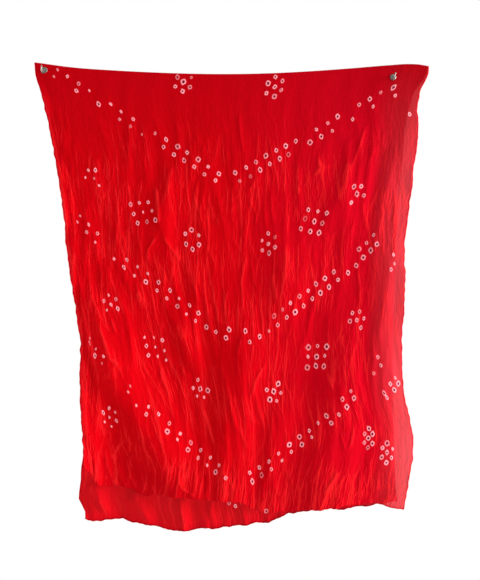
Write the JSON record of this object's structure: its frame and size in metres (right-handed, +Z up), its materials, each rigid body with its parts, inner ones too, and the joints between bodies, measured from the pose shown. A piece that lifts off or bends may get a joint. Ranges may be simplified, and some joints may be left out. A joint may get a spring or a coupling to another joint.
{
  "type": "bandhani cloth on two cup hooks",
  "caption": "Crinkled tie-dyed dupatta folded double over its top edge and hung on cup hooks near its top corners.",
  "frame": {"origin": "on the axis of the left hook's screw, half way between the two layers of cloth that it goes through", "axes": "+X to the right along the top edge, +Y along the screws into the wall, +Z up"},
  "size_m": [0.9834, 0.063, 1.1704],
  "materials": {
    "crinkled_cotton": "scarlet dyed crinkled cotton mull, matt and slightly sheer",
    "nickel_plated_steel": "bright nickel plate, a little dulled"
  },
  "bodies": {
    "root": {"bandhani_cloth": "crinkled_cotton", "left_cup_hook": "nickel_plated_steel", "right_cup_hook": "nickel_plated_steel"}
  },
  "joints": []
}
